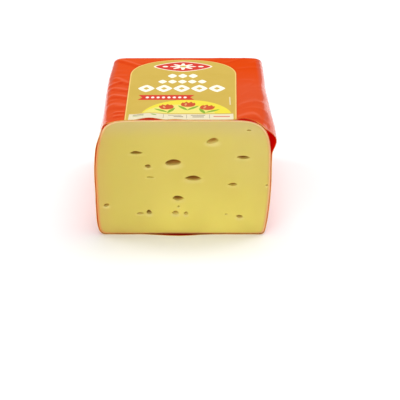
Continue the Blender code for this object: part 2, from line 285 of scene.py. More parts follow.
def wrinkles(points, place):
    """Fine relief of the film: across the left shoulder, slanting on the right, upright on the sides."""
    x, y, z = points.T
    on_top = blend(0.0, 1.0, (z - 0.088) / 0.012)
    left, right = (place < 0) & (z > MIDDLE), (place > 0) & (z > MIDDLE)
    beyond = np.maximum(away_from_label(x, y) * on_top, 1 - on_top)
    behind = blend(0.0, 1.0, (y - LABEL_ARCH_START) / 0.040) * on_top
    across = creases(points, (14, 150, 30), (3.1, 0.4, 1.7), 7.0)
    slant = np.array(((0.8, -0.6, 0), (0.6, 0.8, 0), (0, 0, 1)))
    slanted = creases(points @ slant, (22, 60, 20), (8, 2, 5), 6.0)
    upright = creases(points, (25, 46, 9), (5.5, 9.1, 2.2), 5.0)
    small = creases(points, (60, 120, 40), (1.5, 4.1, 7.2), 6.0)
    total = WRINKLE_LEFT * across * np.where(left, on_top, 0) * blend(1.0, 0.2, (y - 0.02) / 0.05)
    total += WRINKLE_RIGHT * slanted * np.where(right, on_top, 0)
    total += WRINKLE_BEHIND * slanted * behind
    on_side = blend(1.0, 0.0, (z - 0.074) / 0.018) * blend(0.0, 1.0, z / 0.020)
    total += (WRINKLE_SIDE * upright + WRINKLE_SMALL * small) * on_side
    return total * beyond


def end_creases(x, z):
    """Relief of the closed end: folds fan out from the seal's two ends to the corners."""
    draw = random.Random(SEED)
    total = np.zeros_like(x)
    level = SEAL_TOP - SEAL_HEIGHT / 2
    for side in (-1, 1):
        for step in range(9):
            angle = math.radians(-76 + 19 * step + draw.uniform(-5, 5))
            start = (side * (SEAL_WIDTH / 2 - 0.002), level)
            length = draw.uniform(0.024, 0.052)
            end = (start[0] + side * length * math.cos(angle), start[1] + length * math.sin(angle))
            total += ridge(x, z, start, end, draw.uniform(0.0008, 0.0015), draw.uniform(0.0012, 0.0022))
    for step in range(14):
        start = (draw.uniform(-0.054, 0.054), level + draw.choice((-1, 1)) * 0.009)
        up = math.copysign(draw.uniform(0.012, 0.030), start[1] - level)
        end = (start[0] * 1.12 + draw.uniform(-0.004, 0.004), start[1] + up)
        total += ridge(x, z, start, end, draw.uniform(0.0004, 0.0010), draw.uniform(0.0010, 0.0018))
    return np.minimum(total, END_RELIEF)


def ring(ways, from_cut, inset, loose=True):
    """One ring of the wrap: its points, the girth at each and how far each stands off."""
    end, round_start = LENGTH - inset, LENGTH - END_RADIUS
    from_cut = min(from_cut, end)
    y = FRONT + from_cut
    draw_in = 0.0
    if from_cut > round_start:
        radius = END_RADIUS - inset
        draw_in = radius - math.sqrt(max(radius ** 2 - (from_cut - round_start) ** 2, 0.0))
    x, z = section(ways, y, inset + draw_in)
    z = np.maximum(z, inset)
    place = girth(x, z, ways)
    off = lift(place, from_cut) * (ways[1] > 0) if loose else np.zeros_like(x)
    normal_x, normal_z = outward(x, z)
    return np.stack((x + normal_x * off, np.full_like(x, y), z + normal_z * off), 1), place, off


def film_rows(stations):
    """Wrinkled rings of the wrap from the cut to the closed end, how far each point stands off, and the
    fall of the wrinkles away from the cut, from -1 to 1."""
    ways = section_ways(SHEET_POINTS)
    rows, offs, rises = [], [], []
    for station in stations:
        points, place, off = ring(ways, station, 0.0)
        normal_x, normal_z = outward(points[:, 0], points[:, 2])
        rise = fold(*points.T) * (ways[1] > 0) + wrinkles(points, place)
        rise *= blend(0.0, 1.0, (LENGTH - station) / 0.010)
        rise *= blend(0.0, 1.0, points[:, 2] / 0.006)
        points[:, 0] += normal_x * rise
        points[:, 2] += normal_z * rise
        rows.append(points)
        offs.append(off)
        rises.append(rise)
    count = sum(station < LENGTH - END_RADIUS for station in stations)
    falls = np.zeros_like(rises)
    falls[:count] = -np.gradient(np.array(rises[:count]), stations[:count], axis=0)
    return rows, offs, list(np.clip(falls / STEEP_FALL, -1, 1))


def stations_to_end(step, inset, first=EDGE_STEPS):
    """Distances from the cut: close at the edge, even along the block, then round to the closed end."""
    start = LENGTH - END_RADIUS
    count = round((start - first[-1]) / step)
    even = [first[-1] + (start - first[-1]) * i / count for i in range(1, count)]
    radius = END_RADIUS - inset
    return list(first) + even + [start + radius * math.sin(math.pi / 2 * i / 8) for i in range(9)]


def closing_rows(last, count, relief=None):
    """Rings from the last one in to the middle of the closed end, with relief if it is given."""
    middle = last.mean(axis=0)
    rows = []
    for step in range(1, count):
        row = middle + (last - middle) * (1 - step / count)
        if relief:
            row[:, 1] += relief(row[:, 0], row[:, 2]) * min(step / 2, 1.0)
        rows.append(row)
    return rows


def new_object(name, data):
    """A new object in the scene."""
    obj = bpy.data.objects.new(name, data)
    bpy.context.scene.collection.objects.link(obj)
    return obj


class Build:
    """Collects points and faces and makes one mesh piece of them."""

    def __init__(self):
        self.points, self.faces, self.slots, self.marks = [], [], [], {}

    def rows(self, rows, slot=0, closed=True, flipped=False, **marks):
        """Adds a sheet of quads over rows of points, with marks on them, and gives each row's numbers."""
        for name, values in marks.items():
            self.marks.setdefault(name, []).append((len(self.points), np.concatenate(values)))
        starts = []
        for row in rows:
            starts.append(len(self.points))
            self.points.extend(map(tuple, row))
        count = len(rows[0])
        for low, high in zip(starts, starts[1:]):
            self.band(range(low, low + count), range(high, high + count), slot, closed, flipped)
        return [range(start, start + count) for start in starts]

    def band(self, near, far, slot=0, closed=True, flipped=False):
        """Adds the quads between two rows of points."""
        count = len(near)
        for i in range(count if closed else count - 1):
            j = (i + 1) % count
            quad = (near[i], near[j], far[j], far[i])
            self.add(quad[::-1] if flipped else quad, slot)

    def add(self, face, slot=0):
        """Adds one face."""
        self.faces.append(tuple(face))
        self.slots.append(slot)

    def finish(self, name, materials, sharp=None):
        """Makes the piece, smooth but for edges over the sharp angle in degrees."""
        data = bpy.data.meshes.new(name)
        data.from_pydata(self.points, [], self.faces)
        for material in materials:
            data.materials.append(material)
        data.polygons.foreach_set("material_index", self.slots)
        for mark, parts in self.marks.items():
            full = np.zeros(len(self.points), np.float32)
            for first, values in parts:
                full[first : first + len(values)] = values
            data.attributes.new(mark, "FLOAT", "POINT").data.foreach_set("value", full)
        data.shade_smooth()
        if sharp:
            data.set_sharp_from_angle(angle=math.radians(sharp))
        data.update()
        return new_object(name, data)


def add_node(tree, kind, settings=None, values=None):
    """Adds a node: its settings first, then the values or links of its sockets."""
    node = tree.nodes.new(kind)
    for key, value in (settings or {}).items():
        setattr(node, key, value)
    for key, value in (values or {}).items():
        if isinstance(value, Number):
            value = value.socket
        if isinstance(value, bpy.types.NodeSocket):
            tree.links.new(value, node.inputs[key])
        else:
            node.inputs[key].default_value = value
    return node


class Number:
    """A number in a material. An expression on it adds its Math nodes."""

    def __init__(self, finish, socket):
        self.finish, self.socket = finish, socket

    def math(self, operation, *others):
        """The result of a Math node on this number and the others."""
        values = dict(enumerate((self, *others)))
        node = self.finish.node("ShaderNodeMath", {"operation": operation}, values)
        return Number(self.finish, node.outputs[0])

    def __add__(self, other):
        return self.math("ADD", other)

    def __mul__(self, other):
        return self.math("MULTIPLY", other)

    def __sub__(self, other):
        return self.math("SUBTRACT", other)

    def __truediv__(self, other):
        return self.math("DIVIDE", other)

    def __pow__(self, other):
        return self.math("POWER", other)

    def __neg__(self):
        return self * -1.0

    def __rsub__(self, other):
        return -self + other

    def __rtruediv__(self, other):
        return self ** -1.0 * other

    def __abs__(self):
        return self.math("ABSOLUTE")

    __radd__, __rmul__ = __add__, __mul__

    def most(self, other):
        """The larger of the two."""
        return self.math("MAXIMUM", other)

    def least(self, other):
        """The smaller of the two."""
        return self.math("MINIMUM", other)

    def step(self, low, high):
        """0 at low and 1 at high, with a smooth climb between them."""
        settings = {"interpolation_type": "SMOOTHSTEP"}
        values = {"Value": self.socket, "From Min": low, "From Max": high}
        return Number(self.finish, self.finish.node("ShaderNodeMapRange", settings, values).outputs[0])


class Finish:
    """A material with a Principled shader, and the nodes behind it."""

    def __init__(self, name, **fixed):
        self.material = bpy.data.materials.new(name)
        self.material.use_nodes = True
        self.tree = self.material.node_tree
        self.shader = self.tree.nodes["Principled BSDF"]
        for socket, value in fixed.items():
            self.shader.inputs[socket.replace("_", " ").title().replace("Ior", "IOR")].default_value = value
        self.coords = self.node("ShaderNodeTexCoord").outputs["Object"]
        split = self.node("ShaderNodeSeparateXYZ", {}, {0: self.coords})
        self.x, self.y, self.z = (Number(self, split.outputs[i]) * 1000 for i in range(3))

    def node(self, kind, settings=None, values=None):
        return add_node(self.tree, kind, settings, values)

    def noise(self, scale, detail=2.0, stretch=(1, 1, 1)):
        """Noise from 0 to 1, with so many cells to the metre, stretched along an axis."""
        turned = self.node("ShaderNodeMapping", {}, {"Vector": self.coords, "Scale": stretch})
        values = {"Vector": turned.outputs[0], "Scale": scale, "Detail": detail}
        return Number(self, self.node("ShaderNodeTexNoise", {}, values).outputs[0])

    def attribute(self, name):
        """A mark on the mesh's points."""
        return Number(self, self.node("ShaderNodeAttribute", {"attribute_name": name}).outputs["Fac"])

    def mix(self, below, above, share):
        """The colour below, covered by the colour above where share is 1."""
        values = {0: share, 6: below, 7: above}
        return self.node("ShaderNodeMix", {"data_type": "RGBA"}, values).outputs[2]

    def feed(self, **sockets):
        """Links results to the shader's sockets."""
        for name, value in sockets.items():
            socket = value.socket if isinstance(value, Number) else value
            self.tree.links.new(socket, self.shader.inputs[name.replace("_", " ").title()])

    def bump(self, height, distance, strength=1.0):
        """Fine relief from a height of 0 to 1, for a distance in metres."""
        values = {"Height": height, "Distance": distance, "Strength": strength}
        self.feed(normal=self.node("ShaderNodeBump", {}, values).outputs[0])


def srgb(red, green, blue):
    """A colour given by its 8-bit screen values."""
    return tuple(
        v / 12.92 if v <= 0.04045 else ((v + 0.055) / 1.055) ** 2.4
        for v in (red / 255, green / 255, blue / 255)
    ) + (1.0,)


# Rough distances in millimetres from the middle to the edge of the cut face and of the label
PASTE_REACH, LABEL_REACH = 62, 47

# Colours of the paste, and of the light and shade painted on it
PASTE = srgb(222, 202, 93)
PASTE_LEFT = srgb(213, 193, 88)
PASTE_DEEP = srgb(214, 192, 80)
PASTE_EDGE_LIGHT = srgb(216, 168, 96)
PASTE_TOP_LIGHT = srgb(213, 192, 124)
PASTE_PALE = srgb(221, 200, 124)
RIM_HIGHLIGHT = srgb(255, 220, 160)
RIM_HIGHLIGHT_ORANGE = srgb(232, 156, 88)
PASTE_FOOT_LIGHT = srgb(240, 223, 106)
LIP_HIGHLIGHT = srgb(234, 216, 132)
EYE_SHADE = srgb(172, 106, 0)

# Colours of the film, and of the light and shade painted on it
FILM_TIGHT = srgb(222, 74, 8)
FILM_LOOSE = srgb(220, 76, 20)
FILM_INSIDE = srgb(196, 6, 0)
FILM_LIP_SHADOW = srgb(150, 4, 0)
FILM_EDGE = srgb(228, 196, 96)
FILM_WELD = srgb(206, 48, 14)
FILM_FOLD_HIGHLIGHT = srgb(244, 112, 70)
FILM_DEEP = srgb(206, 50, 0)
# Strength of the painted glow of red light through the film
FILM_GLOW = 0.35
DARK = (0.0, 0.0, 0.0, 1.0)
WHITE = (1.0, 1.0, 1.0, 1.0)

# Colours of the print
GOLD = srgb(209, 178, 79)
GOLD_DEEP = srgb(204, 173, 73)
OUTLINE = srgb(246, 206, 118)
LABEL_EDGE_SHADOW = srgb(190, 84, 18)
PRINT_WHITE = srgb(252, 248, 232)
PRINT_RED = srgb(214, 56, 40)
PRINT_BRICK = srgb(206, 84, 44)
PRINT_YELLOW = srgb(238, 222, 66)
PRINT_LEMON = srgb(238, 228, 138)
PRINT_GREEN = srgb(138, 178, 52)
PRINT_CREAM = srgb(232, 221, 188)
PRINT_INK = srgb(100, 82, 54)


def box_mask(x, y, centre, half, soft=0.3):
    """1 inside a rectangle given in millimetres."""
    edge = (abs(x - centre[0]) - half[0]).most(abs(y - centre[1]) - half[1])
    return 1 - edge.step(-soft / 2, soft / 2)


def oval_mask(x, y, centre, half, power=2.0, soft=0.3):
    """1 inside an oval: power 1 gives a lozenge, 2 an ellipse."""
    size = (abs((x - centre[0]) / half[0]) ** power + abs((y - centre[1]) / half[1]) ** power) ** (1 / power)
    edge = soft / min(half)
    return 1 - size.step(1 - edge / 2, 1 + edge / 2)


def turned(x, y, centre, degrees):
    """X and y about a centre, turned."""
    cos, sin = math.cos(math.radians(degrees)), math.sin(math.radians(degrees))
    x, y = x - centre[0], y - centre[1]
    return x * cos + y * sin, y * cos - x * sin


def repeated(x, middle, pitch, count):
    """X measured from the nearest of a row of places round a middle."""
    place = ((x - middle) / pitch + (count - 1) / 2).math("ROUND").most(0.0).least(count - 1.0)
    return x - middle - (place - (count - 1) / 2) * pitch


def paste_finish():
    """Pale yellow paste, deeper in the middle, with painted light on it: orange near the rim from red light
    through the film, paler light under the top and near the base, a painted highlight line round the rim,
    painted amber shade deep in the eyes, painted highlights on their lower lips and a painted red glow on
    the paste under the film's cut edge.
    """
    finish = Finish("cheese_paste", subsurface_weight=0.30, subsurface_scale=0.004, specular_ior_level=0.35)
    finish.shader.inputs["Subsurface Radius"].default_value = (1.0, 0.6, 0.15)
    up = (finish.z - MIDDLE * 1000) / (MIDDLE * 1000)
    foot = up.least(0.0) * up.least(0.0)
    toe = foot ** (FOOT_POWER / 2)
    shoulder = (abs(up - SHOULDER_LEVEL) / SHOULDER_REACH).least(1.0) * math.pi
    lean = CUT_SHIFT * 1000 + FOOT_LEAN * 1000 * foot + FOOT_RETURN * 1000 * toe
    lean = lean + SHOULDER_LEAN * 500 * (1 + shoulder.math("COSINE"))
    draw = BASE_DRAW + (TOP_DRAW_CUT - BASE_DRAW) * up.step(-0.01, 0.01)
    power = BASE_POWER + (TOP_POWER_CUT - BASE_POWER) * up.step(-0.01, 0.01)
    half_width = HALF_WIDTH_CUT * 1000 * (1 - draw * up * up - FOOT_DRAW * toe)
    tuck = (abs(up - LEFT_LEVEL) / LEFT_REACH).least(1.0) * math.pi
    tuck = LEFT_TUCK * 500 * (1 + tuck.math("COSINE")) * (-(finish.x - lean) / half_width).most(0.0)
    across = (finish.x - lean - tuck) / half_width
    nearness = (abs(across) ** power + abs(up) ** power) ** (1 / power)
    from_rim = (1 - nearness) * PASTE_REACH
    depth = finish.y - FRONT * 1000
    to_left = (-across).step(0.35, 1.0)
    cloud = finish.noise(22, 3.0)
    # Brighter and yellower towards the base, less so on the left: painted light that offsets the shade there
    low = (-up).step(-0.1, 0.9) * (1 - 0.75 * (-across).step(0.0, 0.5)) * (1 - 0.5 * across.step(0.5, 0.9))
    colour = finish.mix(PASTE, PASTE_LEFT, (-across).step(0.1, 0.95))
    colour = finish.mix(colour, PASTE_FOOT_LIGHT, low)
    colour = finish.mix(colour, PASTE_PALE, across.step(0.1, 1.0) * up.step(-0.5, 0.8) * 0.45)
    colour = finish.mix(colour, PASTE_DEEP, cloud.step(0.35, 0.75) * 0.30)
    # Orange towards the rim, stronger on the left: painted red light that comes through the film into the
    # paste's edge
    colour = finish.mix(colour, PASTE_EDGE_LIGHT, (1 - from_rim.step(0.0, 16.0)) * (0.08 + 0.30 * to_left))
    # Paler under the top: painted light that comes down through the film
    colour = finish.mix(colour, PASTE_TOP_LIGHT, up.step(0.62, 0.97) * 0.70)
    # A narrower band of the same painted red light close to the rim, weaker at the top
    colour = finish.mix(colour, PASTE_EDGE_LIGHT, (1 - from_rim.step(0.8, 3.4)) * (1 - 0.6 * up.step(0.8, 0.95)))
    # A thin line round the rim: a painted highlight where light catches the softened edge, pale peach at the
    # top, more orange down the sides, most on the left, and at the base
    warm = (-across).step(-0.2, 0.8).most(across.step(0.3, 0.9) * 0.55) * (1 - up.step(0.6, 0.95))
    warm = warm.most((-up).step(0.90, 0.99))
    rim = finish.mix(RIM_HIGHLIGHT, RIM_HIGHLIGHT_ORANGE, warm)
    in_rim = from_rim * (1.15 - 0.45 * up.step(0.95, 1.0) - 0.25 * warm)
    colour = finish.mix(colour, rim, 1 - in_rim.step(1.1, 2.4))
    # Pale ovals under the eyes: painted highlights where light falls on the hollows' lower lips
    lip_highlights = None
    for x, z, width, height, _, _, pinch in EYES:
        spot = (x * 1000, z * 1000 - height * 520)
        half = (width * 560, height * 500)
        pale = min(max(1.35 - 2.0 * pinch, 0.35), 0.95)
        lip = oval_mask(finish.x, finish.z, spot, half, soft=min(half) * 1.2) * pale
        lip_highlights = lip if lip_highlights is None else lip_highlights.most(lip)
    inner = from_rim.step(1.2, 2.2)
    # Deeper in the eyes the paste turns amber: painted shade of the hollows
    colour = finish.mix(colour, EYE_SHADE, depth.step(0.2, 3.6) * inner)
    colour = finish.mix(colour, LIP_HIGHLIGHT, lip_highlights * (0.85 - 0.50 * depth.step(0.6, 2.5)))
    fine = finish.noise(900, 2.0)
    drag = finish.noise(120, 3.0, stretch=(1, 1, 0.12))
    # The paste just behind the rim, under the film, is coloured and made to glow red: painted light coming
    # through the film
    red_light_under_film = depth.step(0.7, 1.4) * (1 - from_rim.step(0.5, 1.1))
    colour = finish.mix(colour, FILM_INSIDE, red_light_under_film)
    glow = finish.mix(DARK, FILM_INSIDE, red_light_under_film)
    finish.shader.inputs["Emission Strength"].default_value = FILM_GLOW
    finish.feed(base_color=colour, emission_color=glow, roughness=0.38 + 0.16 * finish.noise(160, 2.0))
    finish.bump(fine * 0.35 + drag, 0.00010, 0.5)
    return finish.material


def film_finish():
    """Glossy film, orange where it clings to the paste and redder where it stands off, with painted
    highlights on fold slopes that fall away from the cut, painted shade on those that face it, and deeper
    towards the far right.
    """
    finish = Finish("red_film", specular_ior_level=0.0, coat_roughness=0.09)
    loose = finish.attribute("stand_off").step(0.0002, 0.0022)
    cloud = finish.noise(34, 3.0)
    colour = finish.mix(FILM_TIGHT, FILM_LOOSE, (loose * 0.8 + cloud.step(0.4, 0.8) * 0.25).least(1.0))
    # Painted highlight on fold slopes that fall away from the cut, painted shade on those that face it
    fall = finish.attribute("fall")
    colour = finish.mix(colour, FILM_FOLD_HIGHLIGHT, fall.most(0.0) * 0.8)
    colour = finish.mix(colour, FILM_DEEP, (-fall).most(0.0) * 0.8)
    shoulder = abs(finish.x).step(63.5, 68.0).most(1 - finish.z.step(92.0, 99.0))
    far, right = finish.y.step(-20.0, 60.0), finish.x.step(0.0, 50.0)
    colour = finish.mix(colour, FILM_DEEP, far * right * 0.25)
    gloss = 0.40 + 0.55 * shoulder - far * (0.18 + 0.14 * right) * (1 - shoulder)
    finish.feed(base_color=colour, roughness=0.20 + 0.14 * finish.noise(70, 2.0), coat_weight=gloss)
    finish.bump(finish.noise(260, 3.0, stretch=(0.4, 1, 1)), 0.00016, 0.5)
    return finish.material


def weld_finish():
    """The welded double layer, a deeper red than the single film."""
    gloss = {"coat_weight": 0.5, "coat_roughness": 0.15}
    finish = Finish("welded_film", roughness=0.30, specular_ior_level=0.1, **gloss)
    finish.feed(base_color=finish.mix(FILM_WELD, FILM_LOOSE, finish.noise(80, 2.0) * 0.4))
    return finish.material


def film_inside_finish():
    """The film's inner face: a painted deep red glow where light comes through it, and a painted dark shadow
    under the paste.
    """
    finish = Finish("film_inside", roughness=0.35, specular_ior_level=0.15, emission_strength=FILM_GLOW)
    shade = 1 - finish.z.step(0.8, 3.0)
    colour = finish.mix(FILM_INSIDE, FILM_LOOSE, finish.noise(90, 2.0) * 0.3)
    glow = finish.mix(FILM_INSIDE, DARK, shade)
    finish.feed(base_color=finish.mix(colour, FILM_LIP_SHADOW, shade), emission_color=glow)
    return finish.material


def film_edge_finish():
    """The film's cut edge, orange-brown where it clings to the paste and red where it stands off."""
    finish = Finish("film_edge", roughness=0.4, specular_ior_level=0.1)
    loose = finish.attribute("stand_off").step(0.0004, 0.0012)
    colour = finish.mix(FILM_EDGE, FILM_TIGHT, finish.noise(60, 2.0) * 0.15)
    finish.feed(base_color=finish.mix(colour, FILM_DEEP, loose * 0.8))
    return finish.material


def print_emblem(finish, colour, x, y):
    """A red lozenge in a cream line with a white eight-petal rosette."""
    centre = (-3.6, 54.0)
    colour = finish.mix(colour, OUTLINE, oval_mask(x, y, centre, (27.6, 15.8), 1.45))
    colour = finish.mix(colour, PRINT_WHITE, oval_mask(x, y, centre, (27.0, 15.3), 1.45))
    colour = finish.mix(colour, PRINT_RED, oval_mask(x, y, centre, (25.5, 14.0), 1.45))
    across, along = (x - centre[0]) / 1.25, y - centre[1]
    spread = (across * across + along * along) ** 0.5
    angle = along.math("ARCTAN2", across)
    petals = 7.0 + 2.8 * (angle * 8).math("COSINE")
    colour = finish.mix(colour, PRINT_WHITE, 1 - (spread - petals).step(-0.2, 0.2))
    colour = finish.mix(colour, GOLD, 1 - (spread - 2.6).step(-0.2, 0.2))
    dots = repeated(x, centre[0], 33.0, 2)
    return finish.mix(colour, PRINT_WHITE, oval_mask(dots, y, (0, centre[1]), (2.6, 1.9)))


def print_rows(finish, colour, x, y):
    """Three rows of white lozenges, the lowest the largest and with gold hearts."""
    for middle, level, pitch, count, half in (
        (-3.2, 25.8, 9.4, 3, (4.2, 6.0)),
        (-3.2, 9.4, 8.8, 5, (3.9, 5.2)),
        (-3.4, -9.6, 15.4, 5, (7.2, 9.6)),
    ):
        across = repeated(x, middle, pitch, count)
        colour = finish.mix(colour, PRINT_WHITE, oval_mask(across, y, (0, level), half, 1.25))
    return finish.mix(colour, GOLD, oval_mask(across, y, (0, level), (2.6, 3.4), 1.25))


def print_ribbon(finish, colour, x, y):
    """A level red ribbon with notched ends and a row of white beads."""
    middle, level, half = -16.0, -33.5, (24.0, 6.4)
    notch = abs(y - level) * 0.55
    inside = box_mask(x, y, (middle, level), half) * (1 - (abs(x - middle) + 3.5 - notch).step(23.8, 24.2))
    colour = finish.mix(colour, PRINT_RED, inside)
    beads = repeated(x, middle, 4.6, 8)
    return finish.mix(colour, PRINT_WHITE, oval_mask(beads, y, (0, level), (1.4, 2.2)))


def print_garden(finish, colour, x, y):
    """A yellow hill with red cup-shaped flowers and green leaves."""
    above_strip = (y + 73.0).step(-0.2, 0.2)
    hill = oval_mask(x, y, (2.0, -80.0), (37.0, 40.0)) * above_strip
    colour = finish.mix(colour, PRINT_YELLOW, hill)
    glow = oval_mask(x, y, (-4.0, -78.0), (30.0, 26.0)) * above_strip
    colour = finish.mix(colour, PRINT_LEMON, glow * 0.7)
    for centre, lean in (((-15.0, -57.0), 14), ((3.0, -51.0), -4), ((19.0, -58.5), -18)):
        for side in (-1, 1):
            leaf = turned(x, y, (centre[0] + side * 4.2, centre[1] - 9.0), lean - side * 38)
            colour = finish.mix(colour, PRINT_GREEN, oval_mask(*leaf, (0, 0), (1.7, 7.0), 1.5) * above_strip)
        head = turned(x, y, centre, lean)
        cup = oval_mask(*head, (0, 0), (6.0, 6.4), 2.4)
        notch = abs(repeated(head[0], 0.0, 4.0, 3)) * 0.5
        teeth = (head[1] - 3.2 - 3.2 * notch).step(-0.2, 0.2)
        colour = finish.mix(colour, PRINT_BRICK, cup * (1 - teeth))
        shine = oval_mask(*head, (-2.0, -0.5), (0.9, 3.0))
        colour = finish.mix(colour, PRINT_LEMON, shine * 0.45)
    return colour


def print_strip(finish, colour, x, y):
    """The cream strip at the cut: four fields between thin lines, each with small plain marks."""
    strip = box_mask(x, y, (-2.3, -83.0), (42.4, 8.0))
    colour = finish.mix(colour, PRINT_CREAM, strip)
    for place in (-16.6, 2.2, 20.8):
        colour = finish.mix(colour, PRINT_INK, box_mask(x, y, (place, -80.5), (0.18, 4.4)) * 0.7)
    for centre, half, ink in (
        ((-37.0, -77.6), (4.4, 0.7), PRINT_INK),
        ((-37.0, -80.6), (4.4, 0.5), PRINT_GREEN),
        ((-7.4, -77.8), (5.4, 0.5), PRINT_INK),
        ((-4.4, -81.4), (3.8, 0.8), PRINT_INK),
        ((11.4, -77.8), (5.8, 0.6), PRINT_INK),
        ((11.6, -81.6), (4.6, 0.8), PRINT_INK),
        ((30.6, -80.6), (6.6, 0.9), PRINT_RED),
    ):
        colour = finish.mix(colour, ink, box_mask(x, y, centre, half) * 0.85)
    leaf = turned(x, y, (-24.5, -78.4), 60)
    return finish.mix(colour, PRINT_GREEN, oval_mask(*leaf, (0, 0), (1.3, 2.8), 1.5))


def label_finish():
    """Satin gold print with a pale line round its edge, a painted shadow line at the very edge and plain
    generic ornament.
    """
    finish = Finish("gold_label", specular_ior_level=0.1)
    x, y = finish.x, finish.y
    colour = finish.mix(GOLD, GOLD_DEEP, finish.noise(30, 2.0).step(0.35, 0.7) * 0.6)
    for drawn in (print_emblem, print_rows, print_garden, print_ribbon, print_strip):
        colour = drawn(finish, colour, x, y)
    upright_line = box_mask(x, y, (38.0, -43.5), (0.5, 10.0))
    colour = finish.mix(colour, PRINT_CREAM, upright_line * 0.8)
    sides = [(label_edge(0, side) * 1000, label_edge(1, side) - label_edge(0, side)) for side in (-1, 1)]
    along = y.least(LABEL_ARCH_START * 1000)
    left, right = (start + along * slope for start, slope in sides)
    across = abs(x - (left + right) * 0.5) / ((right - left) * 0.5)
    rise = (y - LABEL_ARCH_START * 1000).most(0.0) / ((LABEL_ARCH_TOP - LABEL_ARCH_START) * 1000)
    power = LABEL_ARCH_POWER
    inward = (1 - (across ** power + rise ** power) ** (1 / power)) * LABEL_REACH
    colour = finish.mix(colour, OUTLINE, 1 - inward.step(1.1, 1.5))
    # A dark orange line at the very edge: painted shadow of the label's edge on the film
    colour = finish.mix(colour, LABEL_EDGE_SHADOW, 1 - inward.step(0.2, 0.6))
    finish.feed(base_color=colour, roughness=0.34 + 0.12 * finish.noise(120, 2.0))
    finish.bump(finish.noise(240, 2.0), 0.00008, 0.4)
    return finish.material


def plain_finish(name, colour, roughness):
    """One even colour."""
    finish = Finish(name, roughness=roughness)
    finish.shader.inputs["Base Color"].default_value = colour
    return finish.material


def make_eye(mesh, row, draw):
    """One flattened hollow with pointed ends, overhung at the top and with a floor that ramps out."""
    x, z, width, height, depth, turn, pinch = row
    place = Matrix.Translation((x, FRONT, z)) @ Matrix.Rotation(math.radians(turn), 4, "Y")
    skew, phase = draw.uniform(-0.25, 0.25), draw.uniform(0, math.tau)
    made = bmesh.ops.create_uvsphere(mesh, u_segments=EYE_SEGMENTS, v_segments=EYE_RINGS, radius=1.0)
    for vertex in made["verts"]:
        across, back, up = vertex.co
        waist = max(1 - across * across, 0.02) ** pinch
        wobble = 1 + 0.07 * math.sin(3 * math.atan2(up, across) + phase)
        ramp = 1 + 0.7 * min(up, 0.0)
        up = up * waist * wobble * (1.1 if up > 0 else 0.95)
        across += skew * (1 - across * across) * max(up, 0)
        vertex.co = place @ Vector((across * width / 2, back * waist * ramp * depth, up * height / 2))


def make_cheese(material):
    """The block of paste: a finely meshed cut face with a softened rim, then the sides and the back."""
    ways = section_ways(PASTE_POINTS)
    turns = np.linspace(0, math.pi / 2, 6)
    soft = [(PASTE_RIM * (1 - math.cos(a)), PASTE_RIM * (1 - math.sin(a))) for a in turns]
    outline = ring(ways, 0.0, PASTE_INSET, loose=False)[0]
    rows = closing_rows(shrunk(outline, PASTE_RIM), FACE_RINGS)[::-1]
    for back, inward in soft:
        row = shrunk(outline, inward)
        row[:, 1] = FRONT + back
        rows.append(row)
    stations = stations_to_end(PASTE_STEP, PASTE_INSET, first=(0.0, 0.004))
    rows += [ring(ways, station, PASTE_INSET, loose=False)[0] for station in stations[1:]]
    rows += closing_rows(rows[-1], PASTE_END_RINGS)
    build = Build()
    loops = build.rows(rows, flipped=True)
    build.add(loops[0][::-1])
    build.add(loops[-1])
    cheese = build.finish("cheese_block", [material])
    recalculate(cheese)
    mesh, draw = bmesh.new(), random.Random(SEED)
    for row in EYES:
        make_eye(mesh, row, draw)
    cut_out(cheese, mesh_object(mesh, "eye_hollows", [material]))
    cheese.data.shade_smooth()
    cheese.data.set_sharp_from_angle(angle=math.radians(38))
    return cheese


def shrunk(outline, inward):
    """An outline moved in along its normals."""
    normal_x, normal_z = outward(outline[:, 0], outline[:, 2])
    row = outline.copy()
    row[:, 0] -= normal_x * inward
    row[:, 2] -= normal_z * inward
    return row


def mesh_object(mesh, name, materials):
    """An object made of a bmesh, which is freed."""
    bmesh.ops.recalc_face_normals(mesh, faces=mesh.faces[:])
    data = bpy.data.meshes.new(name)
    mesh.to_mesh(data)
    mesh.free()
    for material in materials:
        data.materials.append(material)
    return new_object(name, data)


def recalculate(obj):
    """Turns a closed mesh's faces outward."""
    mesh = bmesh.new()
    mesh.from_mesh(obj.data)
    bmesh.ops.recalc_face_normals(mesh, faces=mesh.faces[:])
    mesh.to_mesh(obj.data)
    mesh.free()


def settle(obj):
    """Turns an object with modifiers into a plain mesh without them."""
    bpy.context.view_layer.update()
    evaluated = obj.evaluated_get(bpy.context.evaluated_depsgraph_get())
    data = bpy.data.meshes.new_from_object(evaluated)
    obj.modifiers.clear()
    obj.data = data


def cut_out(obj, tool):
    """Cuts a tool out of an object and removes the tool."""
    modifier = obj.modifiers.new(tool.name, "BOOLEAN")
    modifier.operation, modifier.solver, modifier.object = "DIFFERENCE", "EXACT", tool
    modifier.use_self = True
    settle(obj)
    bpy.data.objects.remove(tool)


def lining(row, station):
    """One ring of the film's inner face, moved in by the film's thickness square to the surface."""
    turn = max(station - LENGTH + END_RADIUS, 0.0) / END_RADIUS
    moved = shrunk(row, FILM * math.sqrt(max(1 - turn ** 2, 0.0)))
    moved[:, 1] -= FILM * turn
    return moved


